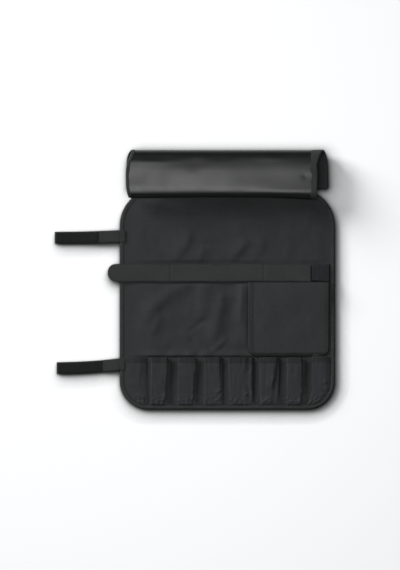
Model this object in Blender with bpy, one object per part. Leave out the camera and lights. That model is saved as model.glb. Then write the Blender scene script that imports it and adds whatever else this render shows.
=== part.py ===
"""Roll-up brush case, laid open with its cover flap folded over on itself.

A cover and a lining are bound together at the edge. Eight slots, a holding strap and a pocket with a
flap are sewn to the lining. Two closing straps leave the left edge, and the cover flap leaves the top.
The panel lies on z = 0 with its lining up. Lengths are in metres.
"""

import math

import bmesh
import bpy
from mathutils import Matrix, Vector

MM = 0.001

# Cloth, tape and the clearance between layers
GAP = 0.3 * MM
COVER_THICKNESS = 0.8 * MM
LINING_THICKNESS = 0.6 * MM
BINDING_THICKNESS = 0.6 * MM
BINDING_WIDTH = 8.0 * MM
WEBBING_THICKNESS = 1.2 * MM
HOOK_THICKNESS = 1.0 * MM
LOOP_THICKNESS = 1.2 * MM

# Main panel
PANEL_WIDTH = 465.0 * MM
PANEL_DEPTH = 477.0 * MM
PANEL_TOP_RADIUS = 80.0 * MM
PANEL_BOTTOM_RADIUS = 60.0 * MM

# Slots along the bottom edge, from left to right, as shares of the bare lining's width
SLOT_SHARES = (52, 51, 57, 56, 68, 56, 56, 53)
SLOT_DEPTH = 106.8 * MM
SLOT_HEIGHT = 9.0 * MM
END_SLOT_HEIGHT = 7.0 * MM
SLOT_CLOTH = 0.6 * MM
SLOT_FOOT = 5.0 * MM
SLOT_GUSSET = 6.0 * MM
SLOT_RISE = 40.0 * MM
SLOT_HEM = 11.0 * MM
HEM_THICKNESS = 0.5 * MM

# Holding strap across the middle
STRAP_WIDTH = 38.0 * MM
STRAP_FROM_TOP = 182.1 * MM
STRAP_TONGUE = 25.7 * MM
STRAP_TIP_RADIUS = 17.0 * MM
STRAP_WEB_THICKNESS = 1.0 * MM
ANCHOR_LENGTH = 42.0 * MM
ANCHOR_MARGIN = 9.8 * MM
STRAP_HOOK_WIDTH = 34.0 * MM
STRAP_HOOK_LENGTH = 375.0 * MM
STRAP_HOOK_SETBACK = 26.0 * MM

# Pocket and its flap, under the strap on the right
POCKET_FLAP_WIDTH = 178.6 * MM
POCKET_FLAP_CLEARANCE = 2.0 * MM
POCKET_FLAP_RADIUS = 17.0 * MM
POCKET_FLAP_THICKNESS = 1.0 * MM
POCKET_FLAP_MARGIN = 8.7 * MM
POCKET_FLAP_SETBACK = 1.0 * MM
POCKET_SIDE_MARGIN = 8.3 * MM
POCKET_LOWER_MARGIN = 8.6 * MM
POCKET_HEIGHT = 5.2 * MM
POCKET_LIP = 14.0 * MM
POCKET_RISE = 20.0 * MM
ROOT_STRIP_THICKNESS = 0.8 * MM

# Closing straps on the left edge
CLOSER_WIDTH = 25.0 * MM
CLOSER_LENGTH = 140.0 * MM
CLOSER_DROP = 44.0 * MM
CLOSER_TACK = 11.5 * MM
UPPER_CLOSER_FROM_TOP = 102.7 * MM
LOWER_CLOSER_FROM_BOTTOM = 97.0 * MM
UPPER_CLOSER_LEAN = -3.6 * MM
LOWER_CLOSER_LEAN = -8.5 * MM
CLOSER_HOOK_LENGTH = 92.0 * MM
CLOSER_HOOK_WIDTH = 22.0 * MM
CLOSER_HOOK_END = 2.0 * MM
CLOSER_LOOP_LENGTH = 200.0 * MM
CLOSER_LOOP_THICKNESS = 0.6 * MM

# Cover flap along the top edge
FLAP_ROOT_WIDTH = 437.0 * MM
FLAP_END_WIDTH = 402.0 * MM
FLAP_BASE_LENGTH = 65.0 * MM
FLAP_FOLD_RADIUS = 17.0 * MM
FLAP_CROWN_LENGTH = 62.0 * MM
FLAP_NOSE_REACH = 21.0 * MM
FLAP_DRIFT = -12.5 * MM

# Facets
CORNER_STEPS = 8
TIP_STEPS = 8
FOLD_STEPS = 10
NOSE_STEPS = 7
CLOSER_STEPS = 6

# Levels of the panel's layers above the surface that it lies on
COVER_BOTTOM = BINDING_THICKNESS + GAP
LINING_BOTTOM = COVER_BOTTOM + COVER_THICKNESS + GAP
ON_LINING = LINING_BOTTOM + LINING_THICKNESS + GAP
PANEL_TOP = ON_LINING + BINDING_THICKNESS
ON_PANEL = PANEL_TOP + GAP

# Edges of the panel, and of the lining that its binding leaves bare
LEFT = -PANEL_WIDTH / 2
RIGHT = PANEL_WIDTH / 2
BOTTOM = -PANEL_DEPTH / 2
TOP = PANEL_DEPTH / 2
CLOTH_INSET = BINDING_THICKNESS + GAP
BARE_INSET = BINDING_WIDTH + GAP

# Slots' bottom seam and mouth
SLOT_BOTTOM = BOTTOM + BARE_INSET
SLOT_MOUTH = SLOT_BOTTOM + SLOT_DEPTH

# Place of the holding strap and levels of its layers
STRAP_Y = TOP - STRAP_FROM_TOP
STRAP_HOOK_BOTTOM = ON_LINING + LOOP_THICKNESS + GAP
STRAP_BOTTOM = STRAP_HOOK_BOTTOM + HOOK_THICKNESS + GAP
STRAP_TOP = STRAP_BOTTOM + STRAP_WEB_THICKNESS
ANCHOR_RIGHT = RIGHT - ANCHOR_MARGIN
ANCHOR_LEFT = ANCHOR_RIGHT - ANCHOR_LENGTH
STRAP_LOWER_EDGE = STRAP_Y - STRAP_WIDTH / 2

# Place of the pocket and of its flap, which ends just above the slots
POCKET_FLAP_RIGHT = RIGHT - POCKET_FLAP_MARGIN
POCKET_FLAP_LEFT = POCKET_FLAP_RIGHT - POCKET_FLAP_WIDTH
ROOT_STRIP_TOP_EDGE = STRAP_LOWER_EDGE - POCKET_FLAP_SETBACK
POCKET_FLAP_TOP_EDGE = ROOT_STRIP_TOP_EDGE - ROOT_STRIP_THICKNESS - GAP
POCKET_FLAP_LOWER_EDGE = SLOT_MOUTH + POCKET_FLAP_CLEARANCE
POCKET_WIDTH = POCKET_FLAP_WIDTH - 2 * POCKET_SIDE_MARGIN
POCKET_MOUTH = POCKET_FLAP_TOP_EDGE - POCKET_LIP
POCKET_BOTTOM = POCKET_FLAP_LOWER_EDGE + POCKET_LOWER_MARGIN
POCKET_FLAP_BOTTOM = ON_LINING + POCKET_HEIGHT + SLOT_CLOTH + GAP
POCKET_FLAP_FACE = POCKET_FLAP_BOTTOM + POCKET_FLAP_THICKNESS

# Place of the closing straps: their root lies on the binding, and their far end on the surface
CLOSER_ROOT = LEFT - GAP
CLOSER_TIP = CLOSER_ROOT - CLOSER_LENGTH
UPPER_CLOSER_Y = TOP - UPPER_CLOSER_FROM_TOP
LOWER_CLOSER_Y = BOTTOM + LOWER_CLOSER_FROM_BOTTOM
TACK_TOP = ON_PANEL + WEBBING_THICKNESS

# Cover flap: its plies, its fold and its free edge, which rests on the panel
FLAP_PLIES = COVER_THICKNESS + GAP + LINING_THICKNESS
FLAP_ROOT = TOP + GAP
FOLD_Y = FLAP_ROOT + FLAP_BASE_LENGTH
FOLD_Z = ON_PANEL + CLOTH_INSET + FLAP_FOLD_RADIUS
CROWN_Z = FOLD_Z + FLAP_FOLD_RADIUS
NOSE_Y = FOLD_Y - FLAP_CROWN_LENGTH
FLAP_END_Z = ON_PANEL + CLOTH_INSET
FLAP_HEM_Z = FLAP_END_Z + BINDING_WIDTH

# Hinge lines, as points of the panel's own frame
FLAP_ROOT_HINGE = Vector((0, TOP + GAP / 2, PANEL_TOP + GAP / 2))
FLAP_FOLD_HINGE = Vector((0, FOLD_Y, FOLD_Z))
HOLDING_STRAP_HINGE = Vector((ANCHOR_LEFT - GAP / 2, STRAP_Y, STRAP_TOP))
POCKET_FLAP_HINGE = Vector((POCKET_FLAP_LEFT, POCKET_FLAP_TOP_EDGE + GAP / 2, POCKET_FLAP_FACE))
UPPER_CLOSER_HINGE = Vector((LEFT - GAP / 2, UPPER_CLOSER_Y, TACK_TOP + GAP / 2))
LOWER_CLOSER_HINGE = Vector((LEFT - GAP / 2, LOWER_CLOSER_Y, TACK_TOP + GAP / 2))

# The case's origin is under the middle of its box
BOX_RIGHT = RIGHT
BOX_LEFT = CLOSER_TIP
BOX_FAR = FOLD_Y + FLAP_FOLD_RADIUS + CLOTH_INSET
BOX_MIDDLE = Vector(((BOX_LEFT + BOX_RIGHT) / 2, (BOTTOM + BOX_FAR) / 2, 0))


def ease(share):
    """Goes from 0 to 1 with no corner at either end."""
    share = min(max(share, 0.0), 1.0)
    return share * share * (3 - 2 * share)


def mix(start, end, share):
    return start + (end - start) * share


# Scene, materials and carriers


def clear_scene():
    for found in list(bpy.data.objects):
        bpy.data.objects.remove(found)


def finish(name, colour, roughness):
    made = bpy.data.materials.new(name)
    made.use_nodes = True
    shader = made.node_tree.nodes["Principled BSDF"]
    shader.inputs["Base Color"].default_value = (*colour, 1)
    shader.inputs["Roughness"].default_value = roughness
    shader.inputs["Metallic"].default_value = 0
    return made


def carrier(name, place, parent=None):
    """An empty on a hinge line. Its place is in the panel's frame, as every piece's is."""
    made = bpy.data.objects.new(name, None)
    bpy.context.scene.collection.objects.link(made)
    made["place"] = place
    made.parent = parent
    made.location = place - Vector(parent["place"]) if parent else -BOX_MIDDLE
    return made


def piece(name, shape, look, held_by, thickness=None):
    """One named object from a bmesh in the panel's frame, with its origin on what holds it.
    A thickness makes a solid of an open surface, on the side that its normals point to."""
    mesh = bpy.data.meshes.new(name)
    shape.to_mesh(mesh)
    shape.free()
    mesh.transform(Matrix.Translation(-Vector(held_by["place"])))
    mesh.materials.append(look)
    mesh.shade_smooth()
    mesh.set_sharp_from_angle(angle=math.radians(35))
    made = bpy.data.objects.new(name, mesh)
    bpy.context.scene.collection.objects.link(made)
    made.parent = held_by
    if thickness:
        solid = made.modifiers.new("thickness", "SOLIDIFY")
        solid.thickness = thickness
        solid.offset = 1
        solid.use_even_offset = True
    return made


# Shapes


def plate(name, outline, bottom, thickness, look, held_by):
    """A flat piece cut to an outline and extruded upwards."""
    shape = bmesh.new()
    face = shape.faces.new([shape.verts.new((x, y, bottom)) for x, y in outline])
    raised = bmesh.ops.extrude_face_region(shape, geom=[face])
    moved = [part for part in raised["geom"] if isinstance(part, bmesh.types.BMVert)]
    bmesh.ops.translate(shape, verts=moved, vec=(0, 0, thickness))
    bmesh.ops.recalc_face_normals(shape, faces=shape.faces)
    return piece(name, shape, look, held_by)


def sheet(name, columns, rows, point, thickness, look, held_by, closed=False):
    """Cloth on the surface point(column, row), thickened towards that surface's normal."""
    shape = bmesh.new()
    last_column = columns if closed else columns - 1
    last_row = rows - 1
    bmesh.ops.create_grid(shape, x_segments=last_column, y_segments=last_row, size=0.5)
    for vertex in shape.verts:
        column = round((vertex.co.x + 0.5) * last_column) % columns
        row = round((vertex.co.y + 0.5) * last_row)
        vertex.co = point(column, row)
    if closed:
        bmesh.ops.remove_doubles(shape, verts=shape.verts, dist=GAP / 10)
    return piece(name, shape, look, held_by, thickness)


def folded_tape(name, stations, point, low, high, look, held_by, closed=False):
    """A tape folded round an edge: a leg, a web and a leg, with its inner faces at levels low and high.
    point(station, inset, level) places it, with insets taken from the tape's outer face."""
    across = (
        (BINDING_WIDTH, low),
        (BINDING_THICKNESS, low),
        (BINDING_THICKNESS, high),
        (BINDING_WIDTH, high),
    )

    def place(column, row):
        return point(column, *across[row])

    return sheet(name, stations, len(across), place, BINDING_THICKNESS, look, held_by, closed)


def box_outline(left, right, bottom, top):
    return [(left, bottom), (right, bottom), (right, top), (left, top)]


def arc(x, y, radius, start, turn, steps):
    """Points on an arc, with angles in degrees."""
    angles = [math.radians(start + turn * step / steps) for step in range(steps + 1)]
    return [(x + radius * math.cos(angle), y + radius * math.sin(angle)) for angle in angles]


def panel_outline(inset):
    """The panel's outline, anticlockwise from its lower left corner, drawn inside its edge."""
    low, high = PANEL_BOTTOM_RADIUS, PANEL_TOP_RADIUS
    corners = (
        (LEFT + low, BOTTOM + low, low, 180),
        (RIGHT - low, BOTTOM + low, low, 270),
        (RIGHT - high, TOP - high, high, 0),
        (LEFT + high, TOP - high, high, 90),
    )
    points = []
    for x, y, radius, start in corners:
        points += arc(x, y, radius - inset, start, 90, CORNER_STEPS)
    return points


# Panel: cover, lining and the tape that binds their edges


def add_panel(looks, panel):
    cloth = panel_outline(CLOTH_INSET)
    plate("outer_cover", cloth, COVER_BOTTOM, COVER_THICKNESS, looks["cover"], panel)
    plate("inner_lining", cloth, LINING_BOTTOM, LINING_THICKNESS, looks["lining"], panel)

    def edge(station, inset, level):
        return Vector((*panel_outline(inset)[station], level))

    folded_tape(
        "panel_binding", len(cloth), edge, BINDING_THICKNESS, ON_LINING, looks["binding"], panel, True
    )


# Slots: one pleated sheet sewn down between its tunnels, each tunnel open at the top


def lower_corner_inset(y):
    """How far the panel's lower corner cuts into the bare lining at this height."""
    reach = PANEL_BOTTOM_RADIUS - BARE_INSET
    below = BOTTOM + PANEL_BOTTOM_RADIUS - y
    return reach - math.sqrt(max(reach * reach - below * below, 0)) if below > 0 else 0


def tunnel_section(foot, gusset):
    """Shares of a tunnel's width, each with its share of the height: foot, gusset, front, gusset, foot."""
    rise = ((0.0, 0.0), (foot, 0.0), (foot + gusset / 2, 0.5), (foot + gusset, 1.0))
    fall = tuple((1 - across, height) for across, height in reversed(rise))
    return rise + ((0.5, 1.0),) + fall


def tunnel_point(section, sides, bottom, depth, rise, height):
    """The inside of a tunnel that is sewn shut at its bottom and rises to its height within rise."""

    def place(across, along):
        y = bottom + depth * along
        left, right = sides(y)
        share, lift = section[across]
        lifted = height * lift * ease(along * depth / rise)
        return Vector((mix(left, right, share), y, ON_LINING + lifted))

    return place


def add_slots(looks, panel):
    bare_left, bare_right = LEFT + BARE_INSET, RIGHT - BARE_INSET
    share_width = (bare_right - bare_left) / sum(SLOT_SHARES)
    rise_share = SLOT_RISE / SLOT_DEPTH
    rows = [rise_share * step / 4 for step in range(5)] + [1.0]
    hem_rows = [1 - SLOT_HEM / SLOT_DEPTH, 1.0]
    for index, share in enumerate(SLOT_SHARES):
        start = bare_left + share_width * sum(SLOT_SHARES[:index])
        width = share_width * share
        section = tunnel_section(SLOT_FOOT / width, SLOT_GUSSET / width)
        is_end = index in (0, len(SLOT_SHARES) - 1)
        height = END_SLOT_HEIGHT if is_end else SLOT_HEIGHT

        def sides(y, left=start, right=start + width):
            """The first and the last slot are cut by the panel's round corners."""
            cut = lower_corner_inset(y)
            return max(left, bare_left + cut) + GAP / 2, min(right, bare_right - cut) - GAP / 2

        inside = tunnel_point(section, sides, SLOT_BOTTOM, SLOT_DEPTH, SLOT_RISE, height)

        def cloth(column, row, inside=inside):
            return inside(column, rows[row])

        def hem(column, row, inside=inside):
            return inside(column + 2, hem_rows[row])

        name = f"slot_{index + 1}"
        sheet(name, len(section), len(rows), cloth, SLOT_CLOTH, looks["lining"], panel)
        tape = sheet(f"{name}_hem", len(section) - 4, 2, hem, HEM_THICKNESS, looks["lining"], panel)
        centre = SLOT_CLOTH + GAP + HEM_THICKNESS / 2
        tape.modifiers["thickness"].offset = 2 * centre / HEM_THICKNESS


# Holding strap: a loop strip on the lining, and a hook-backed strap sewn down at its right end


def add_holding_strap(looks, panel, strap):
    low, high = STRAP_LOWER_EDGE, STRAP_Y + STRAP_WIDTH / 2
    sewn_left = LEFT + BARE_INSET
    strap_right = ANCHOR_LEFT - GAP
    loop = box_outline(sewn_left, strap_right, low, high)
    plate("strap_loop_strip", loop, ON_LINING, LOOP_THICKNESS, looks["loop"], panel)
    anchor = box_outline(ANCHOR_LEFT, ANCHOR_RIGHT, low, high)
    anchor_height = STRAP_TOP - GAP - ON_LINING
    plate("strap_anchor", anchor, ON_LINING, anchor_height, looks["webbing"], panel)

    tip = LEFT - STRAP_TONGUE
    radius = STRAP_TIP_RADIUS
    outline = [(strap_right, low), (strap_right, high)]
    outline += arc(tip + radius, high - radius, radius, 90, 90, TIP_STEPS)
    outline += arc(tip + radius, low + radius, radius, 180, 90, TIP_STEPS)
    plate("holding_strap", outline, STRAP_BOTTOM, STRAP_WEB_THICKNESS, looks["strap"], strap)

    hook_right = strap_right - STRAP_HOOK_SETBACK
    half = STRAP_HOOK_WIDTH / 2
    hook = box_outline(hook_right - STRAP_HOOK_LENGTH, hook_right, STRAP_Y - half, STRAP_Y + half)
    plate("strap_hook_tape", hook, STRAP_HOOK_BOTTOM, HOOK_THICKNESS, looks["hook"], strap)


# Pocket on the lining, and the bound flap that covers it


def add_pocket(looks, panel, flap):
    middle = (POCKET_FLAP_LEFT + POCKET_FLAP_RIGHT) / 2
    section = tunnel_section(SLOT_FOOT / POCKET_WIDTH, SLOT_GUSSET / POCKET_WIDTH)
    depth = POCKET_MOUTH - POCKET_BOTTOM
    rise_share = POCKET_RISE / depth
    rows = [rise_share * step / 4 for step in range(5)] + [1.0]

    def sides(_):
        return middle - POCKET_WIDTH / 2, middle + POCKET_WIDTH / 2

    inside = tunnel_point(section, sides, POCKET_BOTTOM, depth, POCKET_RISE, POCKET_HEIGHT)

    def cloth(column, row):
        return inside(column, rows[row])

    sheet("accessory_pocket", len(section), len(rows), cloth, SLOT_CLOTH, looks["lining"], panel)

    strip_bottom_edge = ROOT_STRIP_TOP_EDGE - ROOT_STRIP_THICKNESS
    strip = box_outline(POCKET_FLAP_LEFT, POCKET_FLAP_RIGHT, strip_bottom_edge, ROOT_STRIP_TOP_EDGE)
    strip_height = POCKET_FLAP_FACE - GAP - ON_LINING
    plate("pocket_flap_root", strip, ON_LINING, strip_height, looks["lining"], panel)

    outline = pocket_flap_edge(CLOTH_INSET)
    plate("pocket_flap", outline, POCKET_FLAP_BOTTOM, POCKET_FLAP_THICKNESS, looks["lining"], flap)

    def edge(station, inset, level):
        return Vector((*pocket_flap_edge(inset)[station], level))

    low, high = POCKET_FLAP_BOTTOM - GAP, POCKET_FLAP_FACE + GAP
    folded_tape("pocket_flap_binding", len(outline), edge, low, high, looks["binding"], flap)


def pocket_flap_edge(inset):
    """The flap's three free sides, from its top left corner down and round to its top right corner."""
    left, right, radius = POCKET_FLAP_LEFT, POCKET_FLAP_RIGHT, POCKET_FLAP_RADIUS
    low = POCKET_FLAP_LOWER_EDGE + radius
    points = [(left + inset, POCKET_FLAP_TOP_EDGE)]
    points += arc(left + radius, low, radius - inset, 180, 90, CORNER_STEPS)
    points += arc(right - radius, low, radius - inset, 270, 90, CORNER_STEPS)
    return points + [(right - inset, POCKET_FLAP_TOP_EDGE)]


# Closing straps: webbing with a hook end, a sewn-down tack, and a loop strip on the back of the cover


def add_closer(name, y, lean, looks, panel, strap):
    def centre(from_root):
        """The strap leans as it lies, most of it near the root."""
        left_over = 1 - from_root / CLOSER_LENGTH
        return y + lean * (1 - left_over * left_over)

    def underside(from_root):
        return ON_PANEL * (1 - ease(from_root / CLOSER_DROP))

    flat_stretch = CLOSER_LENGTH - CLOSER_DROP
    flat = [flat_stretch * step / 2 for step in range(2)]
    drop = [flat_stretch + CLOSER_DROP * step / CLOSER_STEPS for step in range(CLOSER_STEPS + 1)]
    stations = flat + drop

    def webbing(column, row):
        from_root = CLOSER_LENGTH - stations[column]
        across = CLOSER_WIDTH * (row - 0.5)
        return Vector((CLOSER_ROOT - from_root, centre(from_root) + across, underside(from_root)))

    sheet(f"{name}_strap", len(stations), 2, webbing, WEBBING_THICKNESS, looks["webbing"], strap)

    hook_steps = 4

    def hook(column, row):
        from_tip = CLOSER_HOOK_END + CLOSER_HOOK_LENGTH * column / hook_steps
        across = CLOSER_HOOK_WIDTH * (row - 0.5)
        lean_y = centre(CLOSER_LENGTH - from_tip)
        return Vector((CLOSER_TIP + from_tip, lean_y + across, WEBBING_THICKNESS + GAP))

    sheet(f"{name}_hook_tape", hook_steps + 1, 2, hook, HOOK_THICKNESS, looks["hook"], strap)

    half = CLOSER_WIDTH / 2
    tack = box_outline(LEFT, LEFT + CLOSER_TACK, y - half, y + half)
    plate(f"{name}_tack", tack, ON_PANEL, WEBBING_THICKNESS, looks["webbing"], panel)
    reach = CLOSER_LOOP_LENGTH / 2
    loop = box_outline(-reach, reach, y - half, y + half)
    loop_bottom = COVER_BOTTOM - GAP - CLOSER_LOOP_THICKNESS
    plate(f"{name}_loop_strip", loop, loop_bottom, CLOSER_LOOP_THICKNESS, looks["loop"], panel)


# Cover flap: two plies, bound at three edges, folded back over themselves


def flap_base_section():
    """Stations of the part that lies on the surface: place, outward side and length from the root."""
    down = Vector((0, 0, -1))
    return [
        (Vector((0, FLAP_ROOT + along, COVER_BOTTOM)), down, along)
        for along in (0.0, FLAP_BASE_LENGTH)
    ]


def flap_top_section():
    """Stations of the fold, the crown, the nose that turns down, and the upright hem on the panel."""
    places = []
    for step in range(FOLD_STEPS + 1):
        angle = math.pi * (step / FOLD_STEPS - 0.5)
        out = Vector((0, math.cos(angle), math.sin(angle)))
        places.append((FLAP_FOLD_HINGE + out * FLAP_FOLD_RADIUS, out))
    drop = CROWN_Z - FLAP_HEM_Z
    for step in range(NOSE_STEPS + 1):
        angle = math.pi / 2 * step / NOSE_STEPS
        y = NOSE_Y - FLAP_NOSE_REACH * math.sin(angle)
        z = FLAP_HEM_Z + drop * math.cos(angle)
        out = Vector((0, -math.sin(angle) / FLAP_NOSE_REACH, math.cos(angle) / drop))
        places.append((Vector((0, y, z)), out.normalized()))
    places.append((Vector((0, NOSE_Y - FLAP_NOSE_REACH, FLAP_END_Z)), Vector((0, -1, 0))))
    stations = []
    length = FLAP_BASE_LENGTH
    for index, (place, out) in enumerate(places):
        if index:
            length += (place - places[index - 1][0]).length
        stations.append((place, out, length))
    return stations


def flap_edges(length):
    """Left and right edge of the flap's outer face. It narrows, and its free end drifts to the left."""
    whole = flap_top_section()[-1][2]
    half = mix(FLAP_ROOT_WIDTH, FLAP_END_WIDTH, length / whole) / 2
    drift = FLAP_DRIFT * ease((length - FLAP_BASE_LENGTH) / (math.pi * FLAP_FOLD_RADIUS))
    return drift - half, drift + half


def add_flap_plies(name, stations, looks, held_by):
    """Cover and lining along a run of stations, each ply thickened towards the inside of the fold."""

    def ply(inset_level):
        def place(column, row):
            spot, out, length = stations[row]
            left, right = flap_edges(length)
            x = (left + CLOTH_INSET, right - CLOTH_INSET)[column]
            return Vector((x, spot.y, spot.z)) - out * inset_level

        return place

    inner = COVER_THICKNESS + GAP
    sheet(f"{name}_cover", 2, len(stations), ply(0), COVER_THICKNESS, looks["cover"], held_by)
    sheet(f"{name}_lining", 2, len(stations), ply(inner), LINING_THICKNESS, looks["lining"], held_by)


def add_flap_side_tapes(name, stations, looks, held_by):
    def left_edge(station, inset, level):
        spot, out, length = stations[station]
        return Vector((flap_edges(length)[0] + inset, spot.y, spot.z)) + out * level

    def right_edge(station, inset, level):
        spot, out, length = stations[-1 - station]
        return Vector((flap_edges(length)[1] - inset, spot.y, spot.z)) + out * level

    low, high = -FLAP_PLIES - GAP, GAP
    count = len(stations)
    folded_tape(f"{name}_binding_left", count, left_edge, low, high, looks["binding"], held_by)
    folded_tape(f"{name}_binding_right", count, right_edge, low, high, looks["binding"], held_by)


def add_cover_flap(looks, base, top):
    add_flap_plies("flap_base", flap_base_section(), looks, base)
    add_flap_side_tapes("flap_base", flap_base_section(), looks, base)
    add_flap_plies("flap_top", flap_top_section(), looks, top)
    add_flap_side_tapes("flap_top", flap_top_section()[:-1], looks, top)

    spot, out, length = flap_top_section()[-1]
    tangent = Vector((0, 0, -1))
    ends = flap_edges(length)

    def front_edge(station, inset, level):
        along = Vector((ends[station], spot.y, spot.z))
        return along + tangent * (CLOTH_INSET - inset) + out * level

    low, high = -FLAP_PLIES - GAP, GAP
    folded_tape("flap_top_binding_front", 2, front_edge, low, high, looks["binding"], top)


def main():
    clear_scene()
    looks = {
        "cover": finish("coated_cover_cloth", (0.020, 0.021, 0.021), 0.35),
        "lining": finish("lining_cloth", (0.032, 0.033, 0.036), 0.85),
        "binding": finish("binding_tape", (0.028, 0.030, 0.028), 0.80),
        "webbing": finish("webbing", (0.030, 0.031, 0.033), 0.80),
        "strap": finish("strap_webbing", (0.034, 0.037, 0.035), 0.85),
        "hook": finish("hook_tape", (0.016, 0.017, 0.016), 0.70),
        "loop": finish("loop_tape", (0.018, 0.019, 0.019), 0.95),
    }
    panel = carrier("panel_frame", Vector((0, 0, 0)))
    flap_base = carrier("flap_root_hinge", FLAP_ROOT_HINGE, panel)
    flap_top = carrier("flap_fold_hinge", FLAP_FOLD_HINGE, flap_base)
    strap = carrier("holding_strap_hinge", HOLDING_STRAP_HINGE, panel)
    pocket_flap = carrier("pocket_flap_hinge", POCKET_FLAP_HINGE, panel)
    upper = carrier("upper_closer_hinge", UPPER_CLOSER_HINGE, panel)
    lower = carrier("lower_closer_hinge", LOWER_CLOSER_HINGE, panel)

    add_panel(looks, panel)
    add_slots(looks, panel)
    add_holding_strap(looks, panel, strap)
    add_pocket(looks, panel, pocket_flap)
    add_closer("upper_closer", UPPER_CLOSER_Y, UPPER_CLOSER_LEAN, looks, panel, upper)
    add_closer("lower_closer", LOWER_CLOSER_Y, LOWER_CLOSER_LEAN, looks, panel, lower)
    add_cover_flap(looks, flap_base, flap_top)


main()
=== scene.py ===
import math

import bmesh
import bpy
import numpy as np
from mathutils import Matrix, Vector


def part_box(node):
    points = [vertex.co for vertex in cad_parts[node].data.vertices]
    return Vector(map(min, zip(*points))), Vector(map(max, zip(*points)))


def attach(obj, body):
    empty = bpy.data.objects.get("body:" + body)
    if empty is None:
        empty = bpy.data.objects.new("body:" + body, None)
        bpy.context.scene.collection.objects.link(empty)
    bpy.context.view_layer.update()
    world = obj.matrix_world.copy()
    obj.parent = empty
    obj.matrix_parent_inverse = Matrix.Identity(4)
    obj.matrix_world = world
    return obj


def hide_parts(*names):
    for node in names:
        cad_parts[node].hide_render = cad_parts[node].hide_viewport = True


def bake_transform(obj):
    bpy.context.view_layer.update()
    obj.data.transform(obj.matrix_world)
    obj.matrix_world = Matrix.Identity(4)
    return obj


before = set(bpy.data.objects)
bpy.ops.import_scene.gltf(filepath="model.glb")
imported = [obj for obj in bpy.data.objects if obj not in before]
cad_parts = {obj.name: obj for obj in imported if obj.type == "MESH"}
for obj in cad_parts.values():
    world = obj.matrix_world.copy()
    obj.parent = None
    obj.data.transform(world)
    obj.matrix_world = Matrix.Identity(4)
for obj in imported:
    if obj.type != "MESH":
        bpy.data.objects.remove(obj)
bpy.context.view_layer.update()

# Picture: the open case lies on a white table and is seen straight down through a long lens.
# One wide soft light hangs over it, a second stands at the upper left, and the room adds a little.
# The table's paint is also shaded close to the case, most on the side away from the upper left.
MM = 0.001
scene = bpy.context.scene
scene.view_settings.view_transform = "Standard"

PICTURE_HEIGHT, PICTURE_MIDDLE = 1.234, (0.0115, -0.0119)
LENS, SENSOR_WIDTH = 200, 36
camera = bpy.data.objects.new("camera", bpy.data.cameras.new("camera"))
camera.data.lens = LENS
camera.data.sensor_width = SENSOR_WIDTH
camera.location = (*PICTURE_MIDDLE, PICTURE_HEIGHT * LENS / SENSOR_WIDTH)
scene.collection.objects.link(camera)
scene.camera = camera


def soft_light(name, place, aim, size, radiance):
    light = bpy.data.lights.new(name, "AREA")
    light.shape = "RECTANGLE"
    light.size, light.size_y = size
    light.energy = radiance * math.pi * size[0] * size[1]
    lamp = bpy.data.objects.new(name, light)
    lamp.location = place
    lamp.rotation_euler = (Vector(aim) - Vector(place)).to_track_quat("-Z", "Y").to_euler()
    lamp.visible_camera = False
    scene.collection.objects.link(lamp)


soft_light("overhead_light", (-0.07, 0.03, 2.3), aim=(0.03, 0.11, 0.0), size=(1.02, 0.82), radiance=6.6)
soft_light("side_light", (-11.3, 7.3, 4.0), aim=(0.05, 0.0, 0.0), size=(7.0, 4.8), radiance=32.0)

ROOM_COLOUR, ROOM_STRENGTH = (0.9, 0.95, 1.0, 1), 0.14
world = bpy.data.worlds.new("room")
scene.world = world
world.use_nodes = True
room = world.node_tree.nodes["Background"].inputs
room["Color"].default_value = ROOM_COLOUR
room["Strength"].default_value = ROOM_STRENGTH


def node(tree, kind, feeds=None, **settings):
    """Adds one node with its settings, and sets or links its inputs from feeds."""
    made = tree.nodes.new(kind)
    for key, value in settings.items():
        setattr(made, key, value)
    for key, value in (feeds or {}).items():
        if isinstance(value, bpy.types.NodeSocket):
            tree.links.new(value, made.inputs[key])
        else:
            made.inputs[key].default_value = value
    return made


def reckon(tree, operation, *values):
    """One step of arithmetic on numbers or sockets."""
    return node(tree, "ShaderNodeMath", dict(enumerate(values)), operation=operation).outputs[0]


def blended(tree, share, first, second):
    """A colour that goes from first to second as share goes from 0 to 1."""
    return node(tree, "ShaderNodeMix", {0: share, 6: first, 7: second}, data_type="RGBA").outputs[2]


def new_material(name):
    material = bpy.data.materials.new(name)
    material.use_nodes = True
    material.node_tree.nodes.clear()
    return material, material.node_tree


TABLE_COLOUR, TABLE_SEEN, BLACK = (0.80, 0.80, 0.80, 1), (1.12, 1.12, 1.12, 1), (0, 0, 0, 1)
TABLE_HALF_WIDTH, TABLE_DROP = 10, 3.0 * MM
SHADE_REACH, SHADE_DEPTH, LAMP_SIDE = 36 * MM, 5.0, (-0.45, 0.72, 0.55)
table_paint, tree = new_material("table_paint")
rays = node(tree, "ShaderNodeLightPath").outputs
seen = reckon(tree, "MAXIMUM", rays["Is Camera Ray"], rays["Is Glossy Ray"])
seen = reckon(tree, "MAXIMUM", seen, rays["Is Transmission Ray"])
lamp_side = node(tree, "ShaderNodeCombineXYZ", dict(zip("XYZ", LAMP_SIDE)))
openness = node(tree, "ShaderNodeAmbientOcclusion",
                {"Distance": SHADE_REACH, "Normal": lamp_side.outputs[0]}, samples=24)
shade = reckon(tree, "POWER", openness.outputs["AO"], SHADE_DEPTH)
colour = blended(tree, seen, TABLE_COLOUR, blended(tree, shade, BLACK, TABLE_SEEN))
matt = node(tree, "ShaderNodeBsdfDiffuse", {"Color": colour})
node(tree, "ShaderNodeOutputMaterial", {"Surface": matt.outputs[0]})


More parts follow.
